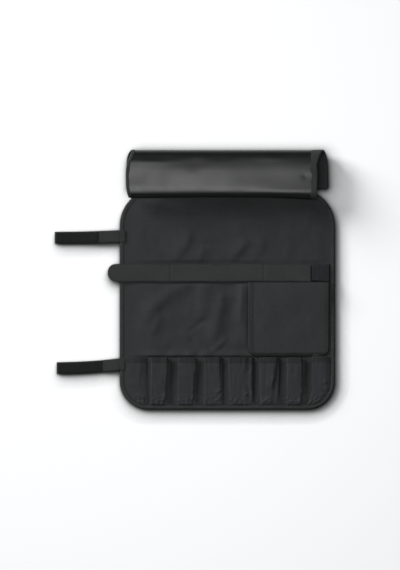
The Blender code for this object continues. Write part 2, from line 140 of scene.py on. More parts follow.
def piece(name, bm, material, crease=math.radians(50)):
    mesh = bpy.data.meshes.new(name)
    bm.to_mesh(mesh)
    bm.free()
    mesh.shade_smooth()
    mesh.set_sharp_from_angle(angle=crease)
    mesh.materials.append(material)
    made = bpy.data.objects.new(name, mesh)
    scene.collection.objects.link(made)
    return made


bm = bmesh.new()
bmesh.ops.create_grid(bm, x_segments=1, y_segments=1, size=TABLE_HALF_WIDTH)
bmesh.ops.translate(bm, verts=bm.verts, vec=(0, 0, -TABLE_DROP))
table = piece("table", bm, table_paint)

# Outer cover: one sheet of coated cloth under the whole panel, cut with rounded corners.
# The shiny face is outside, so it lies face down here, and the panel's binding holds its edge.
PANEL_TOP_RADIUS, PANEL_BOTTOM_RADIUS = 79.1 * MM, 59.1 * MM
COVER_FLAT = (0.463, 0.475)


def corner_inset(from_edge, radius):
    """How far a rounded corner draws the side in, at a distance from the end edge."""
    left_over = np.clip(radius - from_edge, 0, radius)
    return radius - np.sqrt(np.maximum(radius * radius - left_over * left_over, 0))


def rounded_cut(low, high, bottom_radius, top_radius, columns, rows):
    """X and Y of a sheet's grid, fitted to a cut with rounded corners."""
    across, along = np.meshgrid(np.linspace(-1, 1, columns), np.linspace(0, 1, rows))
    y = low.y + along * (high.y - low.y)
    inset = corner_inset(y - low.y, bottom_radius) + corner_inset(high.y - y, top_radius)
    x = (low.x + high.x) / 2 + across * ((high.x - low.x) / 2 - inset)
    return x, y


def ripples(x, y, length, seed, waves=7):
    """Slow unevenness of a cloth, about 1 high either way."""
    total = np.zeros_like(x + y)
    for turn, phase, stretch in np.random.default_rng(seed).random((waves, 3)):
        angle, wave = turn * math.tau, math.tau / (length * (0.7 + 0.8 * stretch))
        total += np.sin((x * math.cos(angle) + y * math.sin(angle)) * wave + phase * math.tau)
    return total / math.sqrt(waves)


def cloth(name, points, thickness, flat, material, join=False):
    """A sheet from a grid of points on its face (rows, columns, xyz), thickened behind the face.
    Its UV map runs in metres along the cloth."""
    rows, columns = points.shape[:2]
    bm = bmesh.new()
    uv = bm.loops.layers.uv.new("cloth")
    bmesh.ops.create_grid(bm, x_segments=columns - 1, y_segments=rows - 1, size=0.5)
    for face in bm.faces:
        for loop in face.loops:
            loop[uv].uv = ((loop.vert.co.x + 0.5) * flat[0], (loop.vert.co.y + 0.5) * flat[1])
    for vert in bm.verts:
        column = round((vert.co.x + 0.5) * (columns - 1))
        row = round((vert.co.y + 0.5) * (rows - 1))
        vert.co = points[row, column]
    if join:
        bmesh.ops.remove_doubles(bm, verts=bm.verts, dist=0.01 * MM)
    bmesh.ops.solidify(bm, geom=bm.faces[:], thickness=thickness)
    bmesh.ops.recalc_face_normals(bm, faces=bm.faces)
    return piece(name, bm, material)


def sewn_on(made, body, slot, *nodes):
    """The piece moves with a body and stands for CAD nodes, which it hides. The slot is not used."""
    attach(made, body)
    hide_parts(*nodes)


def new_group(name, inputs, outputs):
    """A node group that takes a Vector and named numbers, and puts out named numbers."""
    group = bpy.data.node_groups.new(name, "ShaderNodeTree")
    group.interface.new_socket("Vector", in_out="INPUT", socket_type="NodeSocketVector")
    for in_out, sockets in (("INPUT", inputs), ("OUTPUT", outputs)):
        for socket in sockets:
            group.interface.new_socket(socket, in_out=in_out, socket_type="NodeSocketFloat")
    return group, node(group, "NodeGroupInput").outputs, node(group, "NodeGroupOutput").inputs


def ramp(tree, value, start, end):
    """0 at start, 1 at end, and held beyond them."""
    return node(tree, "ShaderNodeMapRange", {"Value": value, "From Min": start, "From Max": end}).outputs[0]


def between(tree, share, low, high):
    return node(tree, "ShaderNodeMapRange", {"Value": share, "To Min": low, "To Max": high}).outputs[0]


# Uneven dye and rubbing: a slow mottling and a fine fleck, each from 0 to 1
uneven, given, out = new_group("uneven_finish", ("Patch Scale", "Fleck Scale"), ("Patches", "Flecks"))
CLOUDS = (("Patches", "Patch Scale", 3.0, 0.55), ("Flecks", "Fleck Scale", 1.0, 0.5))
for output, scale, detail, rough in CLOUDS:
    cloud = node(uneven, "ShaderNodeTexNoise", {
        "Vector": given["Vector"], "Scale": given[scale], "Detail": detail, "Roughness": rough,
    })
    uneven.links.new(ramp(uneven, cloud.outputs[0], 0.3, 0.7), out[output])

# Plain weave: threads that pass over and under each other, on the cloth's own UV map
weave, given, out = new_group("plain_weave", ("Threads Across", "Threads Along"), ("Height",))
parts = node(weave, "ShaderNodeSeparateXYZ", {0: given["Vector"]}).outputs
waves = []
for axis, count in (("X", "Threads Across"), ("Y", "Threads Along")):
    turns = reckon(weave, "MULTIPLY", reckon(weave, "MULTIPLY", parts[axis], given[count]), math.pi)
    waves.append(reckon(weave, "SINE", turns))
weave.links.new(ramp(weave, reckon(weave, "MULTIPLY", *waves), -1.0, 1.0), out["Height"])


def use(tree, group, feeds):
    return node(tree, "ShaderNodeGroup", feeds, node_tree=group).outputs


def uneven_material(name, patch_scale, fleck_scale):
    """A new material, its tree, its texture coordinates and its uneven finish."""
    material, tree = new_material(name)
    place = node(tree, "ShaderNodeTexCoord").outputs
    feeds = {"Vector": place["Object"], "Patch Scale": patch_scale, "Fleck Scale": fleck_scale}
    return material, tree, place, use(tree, uneven, feeds)


def two_tone(tree, share, dark, light):
    return blended(tree, share, (*dark, 1), (*light, 1))


def bumped(tree, height, distance, strength):
    feeds = {"Height": height, "Distance": distance, "Strength": strength}
    return node(tree, "ShaderNodeBump", feeds).outputs[0]


def surface(tree, feeds):
    shader = node(tree, "ShaderNodeBsdfPrincipled", feeds)
    node(tree, "ShaderNodeOutputMaterial", {"Surface": shader.outputs[0]})


coated_cloth, tree, place, finish = uneven_material("coated_cloth", patch_scale=26, fleck_scale=420)
surface(tree, {
    "Base Color": two_tone(tree, finish["Patches"], (0.0040, 0.0043, 0.0042), (0.0052, 0.0056, 0.0054)),
    "Roughness": between(tree, finish["Patches"], 0.29, 0.34),
    "Normal": bumped(tree, finish["Flecks"], distance=0.02 * MM, strength=0.3),
    "Specular IOR Level": 0.42,
})

low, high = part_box("outer_cover")
x, y = rounded_cut(low, high, PANEL_BOTTOM_RADIUS, PANEL_TOP_RADIUS, columns=120, rows=124)
z = high.z + 0.1 * MM * ripples(x, y, 70 * MM, 3)
panel_cover = cloth("panel_cover", np.stack([x, y, z], 2), high.z - low.z, COVER_FLAT, coated_cloth)
sewn_on(panel_cover, "panel", "cover", "outer_cover")

# Inner lining: one sheet of matt woven cloth over the cover, held by the same binding.
# It is a little too big for the panel, so it lies in soft wrinkles, deepest below the strap.
LINING_FLAT = (0.466, 0.479)
LINING_DARK, LINING_LIGHT = np.array((0.0142, 0.0147, 0.0158)), np.array((0.0222, 0.0231, 0.0247))
# How far the slot seams' darkening reaches: fully dark over the core, then fading out behind a seam and ahead
# of the next, as painted shade
SEAM_SHADE_CORE, SEAM_SHADE_PAST, SEAM_SHADE_AHEAD = 1.8 * MM, 8.1 * MM, 15.3 * MM

slubs, given, out = new_group("slubs", (), ("Streaks",))
runs = []
for stretch in ((26, 420, 1), (420, 26, 1)):
    drawn = node(slubs, "ShaderNodeVectorMath", {0: given["Vector"], 1: stretch}, operation="MULTIPLY")
    cloud = node(slubs, "ShaderNodeTexNoise", {"Vector": drawn.outputs[0], "Scale": 1.0, "Detail": 2.0})
    runs.append(cloud.outputs[0])
slubs.links.new(ramp(slubs, reckon(slubs, "ADD", *runs), 0.7, 1.3), out["Streaks"])


def thread_height(tree, place, across, along):
    """Height of a plain weave with so many threads to the metre."""
    feeds = {"Vector": place["UV"], "Threads Across": across, "Threads Along": along}
    return use(tree, weave, feeds)["Height"]


def woven_cloth(name, tone, seams_apart=0.0):
    """Matt cloth of uneven yarns, with tone as a share of the lining's own colour.
    Where seams_apart is given, the cloth is darkened at seams that far apart: a dark seam line, widened into
    painted shade over the pleats' hollows beside it."""
    material, tree, place, finish = uneven_material(name, patch_scale=14, fleck_scale=900)
    yarns = use(tree, slubs, {"Vector": place["UV"]})
    dye = reckon(tree, "MULTIPLY", finish["Patches"], finish["Flecks"])
    shade = node(tree, "ShaderNodeMix", {0: 0.5, 2: dye, 3: yarns["Streaks"]})
    dark, light = LINING_DARK * tone, LINING_LIGHT * tone
    colour = two_tone(tree, shade.outputs[0], dark, light)
    # Painted shade: near each seam the colour falls to a third of the dark tone, reaching furthest ahead of
    # the next seam
    if seams_apart:
        along = node(tree, "ShaderNodeSeparateXYZ", {0: place["UV"]}).outputs["X"]
        passed = reckon(tree, "FLOORED_MODULO", along, seams_apart)
        past = ramp(tree, passed, SEAM_SHADE_CORE, SEAM_SHADE_PAST)
        ahead = ramp(tree, passed, seams_apart - SEAM_SHADE_CORE, seams_apart - SEAM_SHADE_AHEAD)
        colour = blended(tree, reckon(tree, "MINIMUM", past, ahead), (*dark * 0.3, 1), colour)
    surface(tree, {
        "Base Color": colour,
        "Roughness": between(tree, finish["Patches"], 0.62, 0.74),
        "Normal": bumped(tree, thread_height(tree, place, 2000, 2000), distance=0.06 * MM, strength=0.6),
        "Specular IOR Level": 0.3,
        "Sheen Weight": 0.06,
        "Sheen Roughness": 0.45,
    })
    return material


lining_cloth = woven_cloth("lining_cloth", tone=1.0)


def ease(share):
    share = np.clip(share, 0, 1)
    return share * share * (3 - 2 * share)


def hump(gap, width):
    """1 where the gap is nothing, falling away smoothly over a width."""
    return np.exp(-((gap / width) ** 2))


def steps_of(line):
    return np.linalg.norm(np.diff(line, axis=0), axis=1)


def fold(x, y, line, height, west, east):
    """One wrinkle along a line of points, in mm, fading to both ends: it rises over a width west, on the
    right hand going along the line, and falls over a width east."""
    line = np.array(line, float)
    x, y = x / MM, y / MM
    steps = steps_of(line)
    passed = np.concatenate([[0], np.cumsum(steps)])
    nearest, side, share = np.full(x.shape, np.inf), np.zeros(x.shape), np.zeros(x.shape)
    for (x0, y0), ahead, step, before in zip(line, np.diff(line, axis=0) / steps[:, None], steps, passed):
        along = np.clip((x - x0) * ahead[0] + (y - y0) * ahead[1], 0, step)
        gap = np.hypot(x - x0 - along * ahead[0], y - y0 - along * ahead[1])
        closer = gap < nearest
        side = np.where(closer, (y - y0) * ahead[0] - (x - x0) * ahead[1], side)
        share = np.where(closer, (before + along) / passed[-1], share)
        nearest = np.minimum(gap, nearest)
    fade = 1 - np.abs(2 * share - 1) ** 3
    return height * MM * fade * hump(nearest, np.where(side > 0, east, west))


# Each wrinkle's line of points, its height and its two widths, in mm
LINING_FOLDS = (
    (((-2, 8), (-22, -11), (-56, -30), (-88, -58), (-108, -84), (-116, -112)), 2.5, 19, 16),
    (((-72, -70), (-80, -92), (-88, -110), (-104, -122)), 1.3, 12, 9),
    (((20, 8), (19, -45), (15, -92)), 2, 16, 22),
    (((60, -20), (55, -56), (49, -90), (40, -122), (32, -146)), 2.9, 16, 15),
    (((50, -44), (64, -36), (96, -40)), 0.8, 6, 10),
    (((-4, -124), (22, -147), (36, -160)), 1.1, 6, 5),
    (((72, -126), (54, -142), (32, -160)), 1.2, 7, 6),
    (((111, 20), (111, -30), (110, -70), (108, -150)), 3, 20, 9),
    (((103, -4), (101, -50), (97, -100)), 1.5, 8, 7),
    (((30, -80), (-20, -118)), -0.7, 5, 7),
    (((-36, -112), (-8, -132)), 0.8, 5, 6),
    (((-150, -100), (-112, -118), (-56, -152)), 0.8, 12, 10),
    (((-100, 136), (60, 139), (186, 134), (222, 118), (294, 98)), -1.4, 7, 9),
    (((264, 154), (236, 124)), 1.4, 16, 12),
    (((-6, 106), (-22, 74), (-44, 40)), 2, 20, 11),
    (((22, 70), (6, 38)), 1.2, 10, 10),
    (((118, 88), (98, 66), (74, 40)), 1.9, 14, 10),
    (((148, 106), (139, 46)), 0.9, 14, 9),
    (((212, 92), (196, 44)), 0.7, 14, 12),
    (((-10, 78), (70, 76)), -0.6, 4, 6),
    (((-116, 124), (-132, 56)), 0.8, 16, 14),
)
# Height in mm, length in mm and seed of the ripples all over
LINING_RIPPLES = ((0.5, 95, 11), (0.14, 40, 5), (0.05, 18, 7))
MOUTH_SAG = 3.4 * MM
low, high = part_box("inner_lining")
strap_low, strap_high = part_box("strap_loop_strip")
pocket_low, pocket_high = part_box("pocket_flap")
slots_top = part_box("slot_2")[1].y - MOUTH_SAG

x, y = rounded_cut(low, high, PANEL_BOTTOM_RADIUS, PANEL_TOP_RADIUS, columns=220, rows=225)
raised = sum(fold(x, y, *wrinkle) for wrinkle in LINING_FOLDS)
slow = sum(height * ripples(x, y, length * MM, seed) for height, length, seed in LINING_RIPPLES)
raised += MM * (1.2 + slow)
above_slots = np.maximum(y - slots_top - 4 * MM, 0)
raised += MM * (1.3 + 0.5 * ripples(x, 0 * x, 40 * MM, 15)) * hump(above_slots, 9 * MM)
# It lies flat at its edges, and under the strap, the slots and the pocket
to_side = np.minimum(0.6 * (x - low.x), high.x - x)
to_end = np.minimum(y - low.y, high.y - y)
bare = ease((np.minimum(to_side, to_end) - 8 * MM) / (34 * MM))
bare *= ease(np.maximum(strap_low.y - 0.5 * MM - y, y - strap_high.y - 0.5 * MM) / (9 * MM))
bare *= ease((y - slots_top) / (4 * MM))
over_pocket = np.maximum(pocket_low.x - x, np.maximum(y - pocket_high.y, pocket_low.y - y))
bare *= ease((over_pocket + 9 * MM) / (10 * MM))
points = np.stack([x, y, high.z + np.maximum(raised, 0) * bare], 2)
panel_lining = cloth("panel_lining", points, high.z - low.z, LINING_FLAT, lining_cloth)
sewn_on(panel_lining, "panel", "lining", "inner_lining")

# Panel binding: a woven tape folded over the edges of cover and lining.
# It runs all the way round the panel, and the seam near its inner edge draws it into faint puckers.
BOTTOM_TURN, TOP_TURN = 60 * MM, 80 * MM
# Inset from the edge and height of the folded tape, in mm, from the lower leg round to the upper one
TAPE_SECTION = np.array([
    (8, 0.05), (4, 0), (1, 0), (0.2, 0.5), (0, 1.75),
    (0.2, 3), (1, 3.5), (4, 3.55), (8, 3.3),
]) * MM
TAPE_SEAM_INSET, TAPE_SEAM_LEVEL = 6.2 * MM, 3.45 * MM


def woven_tape(name, mottling, threads, yarns, rough, bump, gloss, band=None):
    """Woven tape, with patch and fleck scales, threads to the metre across and along, and two yarns.
    A band gives a line along the tape, how far from it the band starts and is full, and its colour."""
    material, tree, place, finish = uneven_material(name, *mottling)
    colour = two_tone(tree, finish["Flecks"], *yarns)
    if band:
        line, start, full, band_colour = band
        across = node(tree, "ShaderNodeSeparateXYZ", {0: place["UV"]}).outputs["Y"]
        from_line = reckon(tree, "ABSOLUTE", reckon(tree, "SUBTRACT", across, line))
        colour = blended(tree, ramp(tree, from_line, start, full), colour, (*band_colour, 1))
    surface(tree, {
        "Base Color": colour,
        "Roughness": between(tree, finish["Patches"], *rough),
        "Normal": bumped(tree, thread_height(tree, place, *threads), *bump),
        "Specular IOR Level": gloss,
    })
    return material


binding_tape = woven_tape(
    "binding_tape", mottling=(40, 700), threads=(900, 1800),
    yarns=((0.0125, 0.0135, 0.0132), (0.021, 0.0225, 0.022)),
    rough=(0.55, 0.7), bump=(0.1 * MM, 0.7), gloss=0.32,
)
thread, tree, place, finish = uneven_material("sewing_thread", patch_scale=90, fleck_scale=2500)
surface(tree, {
    "Base Color": two_tone(tree, finish["Flecks"], (0.012, 0.0125, 0.013), (0.026, 0.027, 0.028)),
    "Roughness": between(tree, finish["Patches"], 0.4, 0.55),
    "Normal": bumped(tree, finish["Flecks"], distance=0.05 * MM, strength=0.6),
    "Specular IOR Level": 0.4,
})


def spaced(line, count):
    """The same line as count points, evenly spaced along it."""
    along = np.concatenate([[0], np.cumsum(steps_of(line))])
    stations = np.linspace(0, along[-1], count)
    return np.stack([np.interp(stations, along, part) for part in line.T], 1)


def cut_corners(lines):
    """Rounds the corners of many lines at once, keeping their ends."""
    before, after = lines[:, :-1], lines[:, 1:]
    cuts = np.stack([before * 0.75 + after * 0.25, before * 0.25 + after * 0.75], 2)
    cuts = cuts.reshape(len(lines), -1, lines.shape[2])
    return np.concatenate([lines[:, :1], cuts, lines[:, -1:]], 1)


def rounded(points, count):
    """A line through points with its corners cut round, as count even points."""
    lines = np.array([points], float)
    for _ in range(3):
        lines = cut_corners(lines)
    return spaced(lines[0], count)


def edge_line(corners, step, closed):
    """Points and outward directions along an edge with rounded square corners, the cloth on its left."""
    line = []
    for index, (x, y, radius) in enumerate(corners):
        here = np.array([x, y])
        ways = [np.array(corners[at % len(corners)][:2]) - here for at in (index - 1, index + 1)]
        before, after = (way / np.linalg.norm(way) for way in ways)
        for turn in np.linspace(0, math.pi / 2, 25 if radius else 1):
            line.append(here + radius * (before + after - after * math.cos(turn) - before * math.sin(turn)))
    if closed:
        line.append(line[0])
    line = np.array(line)
    line = spaced(line, round(steps_of(line).sum() / step) + 1)
    along = np.gradient(line, axis=0)
    if closed:
        along[0] = along[-1] = line[1] - line[-2]
    along /= np.linalg.norm(along, axis=1)[:, None]
    return line, np.stack([along[:, 1], -along[:, 0]], 1)


def bound_edge(name, material, edge, outward, profile, rows, pucker, seed, join=False, lie=None, broad=1.0):
    """Tape round an edge, and its flat size. The profile gives inset and level from its lower leg round
    to the upper one, lie a rise at x, y, and broad how much wider it is."""
    section = rounded(profile, rows)
    station = np.arange(len(edge), dtype=float)
    wobble = ripples(station, 0 * station, 9.0, seed)
    wobble[-1] = wobble[0]
    leg = (section[:, :1] - section[:, 0].min()) / np.ptp(section[:, 0])
    upper = np.sign(section[:, 1:] - section[:, 1].mean())
    inset = section[:, :1] * broad + 0.5 * pucker * leg * wobble
    level = section[:, 1:] + pucker * (leg * (1 - leg) * 2 * upper) * wobble
    x, y = edge[:, 0] - outward[:, 0] * inset, edge[:, 1] - outward[:, 1] * inset
    points = np.stack([x, y, level + (lie(x, y) if lie else 0)], 2)
    flat = (steps_of(edge).sum(), steps_of(section).sum())
    return cloth(name, points, 0.45 * MM, flat, material, join), flat


def stitches(name, body, lines, pitch=3.2 * MM, length=2.5 * MM, width=0.55 * MM):
    """Rows of thread: one small stitch after another along each line of points."""
    bm = bmesh.new()
    shape = Matrix.Diagonal((length / 2, width / 2, 0.4 * width, 1))
    for line in lines:
        line = np.array(line)
        spots = spaced(line, max(3, 2 * round(steps_of(line).sum() / pitch) + 1))
        for index in range(1, len(spots) - 1, 2):
            along = Vector(spots[index + 1] - spots[index - 1])
            place = Matrix.Translation(spots[index]) @ along.to_track_quat("X", "Z").to_matrix().to_4x4()
            bmesh.ops.create_icosphere(bm, subdivisions=1, radius=1, matrix=place @ shape)
    made = piece(name, bm, thread, crease=math.pi)
    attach(made, body)


low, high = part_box("panel_binding")
panel_edge = [
    (low.x, low.y, BOTTOM_TURN), (high.x, low.y, BOTTOM_TURN),
    (high.x, high.y, TOP_TURN), (low.x, high.y, TOP_TURN),
]
edge, outward = edge_line(panel_edge, step=3.6 * MM, closed=True)
panel_tape, flat = bound_edge(
    "panel_edge_tape", binding_tape, edge, outward, TAPE_SECTION,
    rows=17, pucker=0.22 * MM, seed=21, join=True,
)
sewn_on(panel_tape, "panel", "binding", "panel_binding")
seam = np.column_stack([edge - outward * TAPE_SEAM_INSET, np.full(len(edge), TAPE_SEAM_LEVEL)])
stitches("panel_edge_stitching", "panel", [seam])

# Slot sheet: one long pleated sheet along the bottom, sewn to the lining between the slots and at its foot.
# Each pleat lets its slot stand open at the mouth, and the fold laps over to the right.
slot_names = [f"slot_{number}" for number in range(1, 9)]
slot_boxes = [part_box(name) for name in slot_names]
SLOT_SEAMS = [slot_boxes[0][0].x] + [
    (left[1].x + right[0].x) / 2 for left, right in zip(slot_boxes, slot_boxes[1:])
] + [slot_boxes[-1][1].x]
SLOT_FOOT, SLOT_MOUTH = slot_boxes[1][0].y, slot_boxes[1][1].y
SLOT_DEPTH = SLOT_MOUTH - SLOT_FOOT
SLOT_CORNER = 51.7 * MM
SLOT_ROWS, SLOT_FLAT = 62, (0.54, 0.107)
SLOT_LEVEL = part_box("inner_lining")[1].z + 0.5 * MM
# For each slot, as shares of its width: its front's two edges at the mouth, then at the foot. Then in mm:
# the front's height at the mouth, how far its right edge laps over, and the rib in the pleat beside it.
# Last, how slack that pleat is: at 0 it stands under the lap, at 1 it slopes down to the seam.
SLOT_FRONTS = (
    (0.08, 0.66, 0.12, 0.70, 4.2, 0, 0, 1),
    (0.17, 0.87, 0.15, 0.71, 9.6, 5, 0.2, 0),
    (0.30, 0.93, 0.28, 0.80, 8.6, 2.4, 0.8, 0.1),
    (0.29, 0.84, 0.30, 0.94, 5.8, 0, 0.4, 0.95),
    (0.17, 0.68, 0.26, 0.72, 6.8, 0.6, 1.9, 0.9),
    (0.21, 0.84, 0.24, 0.62, 6.8, 0, 1, 0.85),
    (0.28, 0.84, 0.29, 0.79, 8.2, 4.6, 0.6, 0),
    (0.27, 0.74, 0.27, 0.68, 3.4, 0, 0, 1),
)
LAST_SLOT = len(SLOT_FRONTS) - 1
# Small crumples, given as the lining's wrinkles are
SLOT_TUCKS = (
    (((-129, -247), (-106, -259)), 1.3, 3.5, 2.6), (((-68, -246), (-58, -268)), 1.2, 5, 4),
    (((-6, -250), (4, -266)), 1.8, 3, 3), (((46, -246), (60, -236)), 1.4, 3, 3),
    (((49, -262), (60, -248)), 1.2, 3, 3), (((118, -196), (120, -240)), 1.6, 5, 4),
    (((106, -252), (118, -244)), 1, 3, 3), (((173, -176), (171, -210), (164, -240)), 1.5, 10, 3),
    (((148, -268), (156, -256)), 1, 3, 3), (((164, -268), (158, -254)), 1, 3, 3),
    (((226, -256), (232, -268)), 1.2, 3, 3), (((279, -218), (288, -224)), 0.9, 3, 3),
    (((280, -232), (290, -240)), 1.1, 3, 3), (((274, -246), (285, -256)), 1.3, 3, 3),
    (((262, -262), (274, -266)), 0.8, 3, 3),
)


def pleat(rises, width, left, right, foot_left, foot_right, height, lap, rib, slack):
    """Sections of one slot from seam to seam, one for each rise: x from the left seam and z, in mm."""
    own_seed = round(97 * left + 31 * right)
    start = width * (foot_left + (left - foot_left) * rises)
    end = width * (foot_right + (right - foot_right) * ease(rises * 1.1))
    end = end + 0.8 * ripples(rises, 0 * rises, 0.2, own_seed) * ease(rises / 0.1)
    high = height * (0.1 + 0.9 * (rises ** 2 + 0.08 ** 2) ** 0.4) * (0.1 + 0.9 * ease(rises / 0.02))
    low = high * 0.07 + 0.25
    lap = lap * ease(rises / 0.4)
    rib = rib * ease(rises / 0.3)
    fallen, rest = (end + width) / 2, width - end
    front = [
        (0 * start, 0.3 + 0 * low), (start * 0.6, low), (start + 1.2, low * 1.5), (start + 0.5, high * 0.8),
        (start, high), (start + 0.8, high * 1.005), (start + 1.8, high * 1.01), (start + 5, high * 1.02),
        ((start + end) / 2, high * 1.03), (end - 5, high * 1.02), (end, high * 0.98),
    ]
    lapped = [
        (end + 0.5, high * 0.7), (end - lap, low * 1.5), (end - lap * 0.3 + 0.8, low),
        (fallen - 1.6, np.maximum(rib, low)), (fallen + 1.6, np.maximum(rib, low)),
        (width - 1.5 + 0 * low, low),
    ]
    sloping = [
        (end + rest * 0.24, high * 0.85), (end + rest * 0.46, high * 0.68),
        (end + rest * 0.66, high * 0.5 + rib), (end + rest * 0.82, high * 0.36 + rib),
        (end + rest * 0.94, high * 0.15), (width - 0.7 + 0 * low, high * 0.06),
    ]
    beside = [tuple((1 - slack) * p + slack * q for p, q in zip(*pair)) for pair in zip(lapped, sloping)]
    section = front + beside + [(width + 0 * start, 0.3 + 0 * low)]
    lines = np.stack([np.stack(point, 1) for point in section], 1)
    return cut_corners(cut_corners(lines)), high


def slot_surface(rises):
    """Points of the slot sheet's face, for shares of the depth from foot to mouth."""
    rise = rises[:, None]
    strips = []
    for number, front in enumerate(SLOT_FRONTS):
        width = (SLOT_SEAMS[number + 1] - SLOT_SEAMS[number]) / MM
        section, high = pleat(rises, width, *front)
        across, z = section[:, :, 0] / width, section[:, :, 1]
        on_front = ease((z / high[:, None] - 0.6) / 0.35)
        y = SLOT_FOOT + rise * SLOT_DEPTH + 0 * z
        corner = corner_inset(y - SLOT_FOOT, SLOT_CORNER)
        left = SLOT_SEAMS[number] + (corner if number == 0 else 0)
        right = SLOT_SEAMS[number + 1] - (corner if number == LAST_SLOT else 0)
        x = left + across * (right - left)
        streaks = ripples(x, 0.22 * y, 13 * MM, 30 + number) + 0.7 * ripples(x, y, 30 * MM, 40 + number)
        z = z + 0.2 * streaks * on_front * (0.4 + 0.6 * rise)
        inside = np.sin(np.clip(across, 0, 1) * math.pi) ** 0.5
        crumpled = inside * hump(rise - 0.08, 0.09)
        z = z + 0.42 * (1 + ripples(x, y, 8 * MM, 50 + number)) * crumpled
        z = z + sum(fold(x, y, *tuck) for tuck in SLOT_TUCKS) / MM * inside
        x = x + 0.5 * MM * ripples(0 * x, y, 26 * MM, 60 + number) * inside
        sag = MOUTH_SAG - 2.0 * MM * ease((x - SLOT_SEAMS[LAST_SLOT]) / (20 * MM))
        y = y - sag * rise ** 2 - 1.5 * MM * rise ** 8 * (1 - on_front)
        strip = np.stack([x, y, SLOT_LEVEL + z * MM], 2)
        strips.append(strip if number == LAST_SLOT else strip[:, :-1])
    return np.concatenate(strips, 1)


slot_face = slot_surface(np.linspace(0, 1, SLOT_ROWS))
slot_columns = (slot_face.shape[1] - 1) // len(SLOT_FRONTS)
# The slot sheet's cloth is the lining cloth made 15% lighter all over: painted light that lifts its sloping
# fronts
slot_cloth = woven_cloth("slot_cloth", tone=1.15, seams_apart=SLOT_FLAT[0] / len(SLOT_FRONTS))
slot_sheet = cloth("slot_sheet", slot_face, 0.5 * MM, SLOT_FLAT, slot_cloth)
sewn_on(slot_sheet, "panel", "lining", *slot_names)

# Slot hem: a narrow dark tape folded over the slot sheet's mouth edge, all along its pleats.
# One row of stitches holds it, and more rows down the sheet part the slots.
HEM_WIDTH, HEM_FLAT = 11.5 * MM, (SLOT_FLAT[0], 0.024)
hem_tape = woven_tape(
    "hem_tape", mottling=(30, 900), threads=(1900, 1500),
    yarns=((0.0092, 0.0097, 0.0100), (0.0142, 0.0150, 0.0152)),
    rough=(0.62, 0.74), bump=(0.08 * MM, 0.6), gloss=0.3,
)
mouth = slot_surface(np.linspace(1 - HEM_WIDTH / SLOT_DEPTH, 1, 7))
facing = np.cross(np.gradient(mouth, axis=1), np.gradient(mouth, axis=0))
facing /= np.linalg.norm(facing, axis=2)[:, :, None]
past = np.array([0, 0.35 * MM, 0])
hem_points = np.concatenate([
    mouth + facing * 0.5 * MM,
    mouth[-1:] + facing[-1:] * 0.1 * MM + past,
    mouth[-1:] - facing[-1:] * 0.55 * MM + past,
    mouth[::-1] - facing[::-1] * 0.8 * MM,
])
slot_hem = cloth("slot_hem", hem_points, 0.3 * MM, HEM_FLAT, hem_tape)
sewn_on(slot_hem, "panel", "binding", *[f"{name}_hem" for name in slot_names])
seams = [mouth[1] + facing[1] * 0.6 * MM]
for number in range(1, len(SLOT_FRONTS)):
    seams.append(slot_face[2:-1, number * slot_columns] + np.array([0, 0, 0.1 * MM]))
stitches("slot_stitching", "panel", seams)

# Holding strap: a wide woven band across the panel, sewn down at the right under its anchor patch.
# Its rounded tongue passes the left edge, and hook tape under it grips a loop strip on the lining.
STRAP_FLAT, ANCHOR_FLAT = (0.4386, 0.038), (0.044, 0.040)
TONGUE_RADIUS = 18 * MM
STRAP_SEAMS, STRAP_EDGE_SEAM = (-52.2 * MM, 150.0 * MM), 16.4 * MM
# The band darkens the strap's two long edges: partly a denser selvedge, partly painted shade of the gap under
# each edge
strap_web = woven_tape(
    "strap_web", mottling=(22, 800), threads=(700, 1500),
    yarns=((0.0148, 0.0163, 0.0153), (0.0226, 0.0246, 0.0234)),
    rough=(0.58, 0.7), bump=(0.12 * MM, 0.7), gloss=0.3,
    band=(19 * MM, 17.2 * MM, 18.2 * MM, (0.007, 0.0075, 0.0075)),
)

loop_pile, tree, place, finish = uneven_material("loop_pile", patch_scale=120, fleck_scale=1600)
surface(tree, {
    "Base Color": two_tone(tree, finish["Flecks"], (0.006, 0.0065, 0.0065), (0.022, 0.023, 0.023)),
    "Roughness": between(tree, finish["Patches"], 0.85, 0.97),
    "Normal": bumped(tree, finish["Flecks"], distance=0.5 * MM, strength=0.9),
    "Specular IOR Level": 0.2,
    "Sheen Weight": 0.12,
})

hook_pile, tree, place, finish = uneven_material("hook_pile", patch_scale=60, fleck_scale=1300)
hooks = thread_height(tree, place, 620, 620)
surface(tree, {
    "Base Color": two_tone(tree, hooks, (0.0052, 0.0056, 0.0055), (0.0142, 0.0150, 0.0145)),
    "Roughness": between(tree, finish["Flecks"], 0.45, 0.65),
    "Normal": bumped(tree, hooks, distance=0.5 * MM, strength=0.9),
    "Specular IOR Level": 0.12,
})


def laid_strip(name, node_name, grid, material, edge_drop, uneven_by=0.0, seed=0):
    """A flat strip in the box of a CAD node, its edges eased down by edge_drop, and its flat size."""
    low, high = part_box(node_name)
    across, along = np.meshgrid(*[np.linspace(0, 1, count) for count in grid])
    size = (high.x - low.x, high.y - low.y)
    x, y = low.x + across * size[0], low.y + along * size[1]
    to_edge = np.minimum.reduce([x - low.x, high.x - x, y - low.y, high.y - y])
    z = high.z - edge_drop * (1 - ease(to_edge / (1.6 * MM))) + uneven_by * ripples(x, y, 30 * MM, seed)
    return cloth(name, np.stack([x, y, z], 2), (high.z - low.z) * 0.7, size, material), size


loop_strip, flat = laid_strip(
    "strap_loop_pile", "strap_loop_strip", (160, 22), loop_pile,
    edge_drop=0.5 * MM, uneven_by=0.08 * MM, seed=4,
)
sewn_on(loop_strip, "panel", "loop", "strap_loop_strip")

